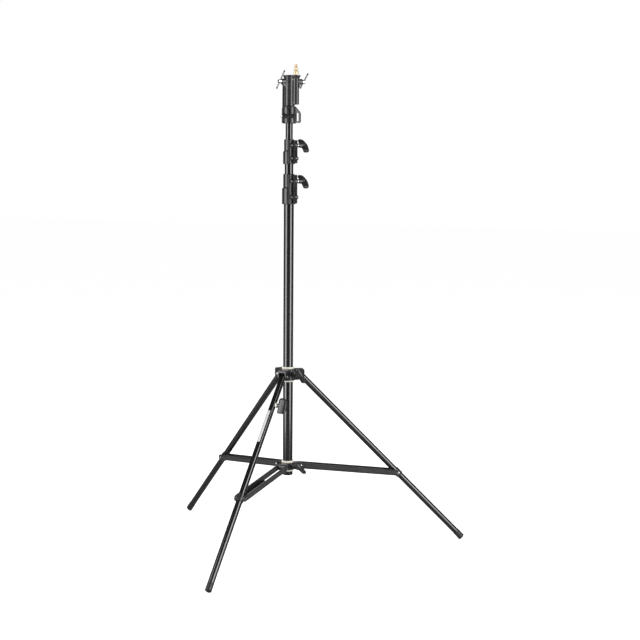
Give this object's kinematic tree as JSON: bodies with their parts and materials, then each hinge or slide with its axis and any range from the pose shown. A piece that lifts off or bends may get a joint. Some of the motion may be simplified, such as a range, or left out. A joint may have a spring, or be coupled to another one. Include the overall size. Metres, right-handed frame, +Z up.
{
  "type": "lighting stand",
  "caption": "Heavy-duty telescoping lighting stand with a folding braced leg base, wing-knob clamping collars and a combined socket and spigot head.",
  "frame": {"origin": "on the floor, under the middle of the stand's bounding box", "axes": "+Z up along the column, +Y away from the levelling leg, +X to the right of the column seen from the levelling leg"},
  "size_m": [1.134, 0.9854, 1.7045],
  "materials": {
    "tube_black": "gloss black anodised",
    "casting_black": "satin black powder coat",
    "brace_black": "satin black paint",
    "knob_plastic": "satin dark grey",
    "cap_plastic": "moulded black",
    "nylon_white": "off-white nylon",
    "foot_rubber": "moulded black",
    "fastener_steel": "bright zinc plate",
    "chrome": "polished",
    "brass": "turned",
    "inner_steel": "bright drawn tube"
  },
  "bodies": {
    "column": {"base_tube": "tube_black", "base_tube_cap": "cap_plastic", "lower_collar": "casting_black", "lower_collar_pinch_bolt": "fastener_steel"},
    "lower_collar_knob": {"lower_collar_knob": "knob_plastic"},
    "riser_1": {"riser_1_tube": "tube_black", "riser_1_bush": "nylon_white", "upper_collar": "casting_black", "upper_collar_pinch_bolt": "fastener_steel"},
    "upper_collar_knob": {"upper_collar_knob": "knob_plastic"},
    "riser_2": {"riser_2_tube": "tube_black", "riser_2_bush": "nylon_white", "head_casting": "casting_black", "head_pinch_bolt": "fastener_steel"},
    "spigot": {"spigot": "brass"},
    "socket_t_screw": {"socket_t_screw": "chrome"},
    "socket_t_bar": {"socket_t_bar": "chrome"},
    "spigot_t_screw": {"spigot_t_screw": "chrome"},
    "spigot_t_bar": {"spigot_t_bar": "chrome"},
    "upper_hub": {"upper_hub": "casting_black", "upper_hub_bush_bottom": "nylon_white", "upper_hub_bush_top": "nylon_white", "levelling_leg_hinge_pin": "fastener_steel", "right_leg_hinge_pin": "fastener_steel", "left_leg_hinge_pin": "fastener_steel"},
    "upper_hub_knob": {"upper_hub_knob": "knob_plastic"},
    "lower_hub": {"lower_hub": "casting_black", "lower_hub_bush_bottom": "nylon_white", "lower_hub_bush_top": "nylon_white", "levelling_brace_inner_pin": "fastener_steel", "right_brace_inner_pin": "fastener_steel", "left_brace_inner_pin": "fastener_steel"},
    "lower_hub_knob": {"lower_hub_knob": "knob_plastic"},
    "levelling_leg": {"levelling_leg_tube": "tube_black", "levelling_leg_brace_bracket": "casting_black"},
    "right_leg": {"right_leg_tube": "tube_black", "right_leg_brace_bracket": "casting_black", "right_foot": "foot_rubber"},
    "left_leg": {"left_leg_tube": "tube_black", "left_leg_brace_bracket": "casting_black", "left_foot": "foot_rubber"},
    "levelling_brace": {"levelling_brace_bar_a": "brace_black", "levelling_brace_bar_b": "brace_black", "levelling_brace_rivet_a": "fastener_steel", "levelling_brace_rivet_b": "fastener_steel"},
    "right_brace": {"right_brace_bar_a": "brace_black", "right_brace_bar_b": "brace_black", "right_brace_rivet_a": "fastener_steel", "right_brace_rivet_b": "fastener_steel"},
    "left_brace": {"left_brace_bar_a": "brace_black", "left_brace_bar_b": "brace_black", "left_brace_rivet_a": "fastener_steel", "left_brace_rivet_b": "fastener_steel"},
    "levelling_inner_leg": {"levelling_inner_tube": "inner_steel", "levelling_foot": "foot_rubber", "levelling_washer": "nylon_white"},
    "levelling_knob": {"levelling_knob": "knob_plastic"}
  },
  "joints": [
    {"name": "lower_collar_knob_turn", "type": "hinge", "parent": "column", "child": "lower_collar_knob", "pos_m": [0.03201, 0.15817, 1.3007], "axis": [0.5878, 0.809, 0], "continuous": true},
    {"name": "riser_1_slide", "type": "slide", "parent": "column", "child": "riser_1", "axis": [0, 0, 1], "range_m": [-0.033, 0.8]},
    {"name": "upper_collar_knob_turn", "type": "hinge", "parent": "riser_1", "child": "upper_collar_knob", "pos_m": [0.03201, 0.15817, 1.4252], "axis": [0.5878, 0.809, 0], "continuous": true},
    {"name": "riser_2_slide", "type": "slide", "parent": "riser_1", "child": "riser_2", "axis": [0, 0, 1], "range_m": [-0.03, 0.8]},
    {"name": "spigot_slide", "type": "slide", "parent": "riser_2", "child": "spigot", "axis": [0, 0, 1], "range_m": [0, 0.06]},
    {"name": "socket_t_turn", "type": "hinge", "parent": "riser_2", "child": "socket_t_screw", "pos_m": [0, 0.16004, 1.6455], "axis": [-0.6225, -0.7826, 0], "continuous": true},
    {"name": "socket_t_bar_slide", "type": "slide", "parent": "socket_t_screw", "child": "socket_t_bar", "axis": [0.5534, -0.4402, 0.7071], "range_m": [-0.036, 0.02]},
    {"name": "spigot_t_turn", "type": "hinge", "parent": "riser_2", "child": "spigot_t_screw", "pos_m": [0.0245, 0.16004, 1.6455], "axis": [0.7071, 0.7071, 0], "continuous": true},
    {"name": "spigot_t_bar_slide", "type": "slide", "parent": "spigot_t_screw", "child": "spigot_t_bar", "axis": [0.5862, -0.5862, 0.5592], "range_m": [-0.032, 0.024]},
    {"name": "leg_base_slide", "type": "slide", "parent": "column", "child": "upper_hub", "axis": [0, 0, 1], "range_m": [0, 0.49]},
    {"name": "upper_hub_knob_turn", "type": "hinge", "parent": "upper_hub", "child": "upper_hub_knob", "pos_m": [0.03413, 0.14266, 0.62076], "axis": [0.891, -0.454, 0], "continuous": true},
    {"name": "levelling_leg_fold", "type": "hinge", "parent": "upper_hub", "child": "levelling_leg", "pos_m": [0, 0.11504, 0.61676], "axis": [1, 0, 0], "range_deg": [0, 35.5]},
    {"name": "right_leg_fold", "type": "hinge", "parent": "upper_hub", "child": "right_leg", "pos_m": [0.03897, 0.18254, 0.61676], "axis": [-0.5, 0.866, 0], "range_deg": [0, 35.5]},
    {"name": "left_leg_fold", "type": "hinge", "parent": "upper_hub", "child": "left_leg", "pos_m": [-0.03897, 0.18254, 0.61676], "axis": [-0.5, -0.866, 0], "range_deg": [0, 35.5]},
    {"name": "lower_hub_slide", "type": "slide", "parent": "upper_hub", "child": "lower_hub", "axis": [0, 0, 1], "range_m": [0, 0.1737]},
    {"name": "lower_hub_knob_turn", "type": "hinge", "parent": "lower_hub", "child": "lower_hub_knob", "pos_m": [0.03413, 0.14266, 0.2895], "axis": [0.891, -0.454, 0], "continuous": true},
    {"name": "levelling_brace_fold", "type": "hinge", "parent": "lower_hub", "child": "levelling_brace", "pos_m": [0, 0.11504, 0.2905], "axis": [1, 0, 0], "range_deg": [0, 71.49]},
    {"name": "right_brace_fold", "type": "hinge", "parent": "lower_hub", "child": "right_brace", "pos_m": [0.03897, 0.18254, 0.2905], "axis": [-0.5, 0.866, 0], "range_deg": [0, 71.49]},
    {"name": "left_brace_fold", "type": "hinge", "parent": "lower_hub", "child": "left_brace", "pos_m": [-0.03897, 0.18254, 0.2905], "axis": [-0.5, -0.866, 0], "range_deg": [0, 71.49]},
    {"name": "levelling_leg_slide", "type": "slide", "parent": "levelling_leg", "child": "levelling_inner_leg", "axis": [0, 0.7009, 0.7133], "range_m": [-0.25, 0]},
    {"name": "levelling_knob_turn", "type": "hinge", "parent": "levelling_inner_leg", "child": "levelling_knob", "pos_m": [0.0144, 0.02673, 0.52689], "axis": [1, 0, 0], "continuous": true}
  ],
  "couplings": [
    {"joint": "right_leg_fold", "follows": "levelling_leg_fold", "ratio": 1},
    {"joint": "left_leg_fold", "follows": "levelling_leg_fold", "ratio": 1},
    {"joint": "lower_hub_slide", "follows": "levelling_leg_fold", "m_per_rad": 0.28035},
    {"joint": "levelling_brace_fold", "follows": "levelling_leg_fold", "ratio": 2.0137},
    {"joint": "right_brace_fold", "follows": "levelling_leg_fold", "ratio": 2.0137},
    {"joint": "left_brace_fold", "follows": "levelling_leg_fold", "ratio": 2.0137}
  ]
}
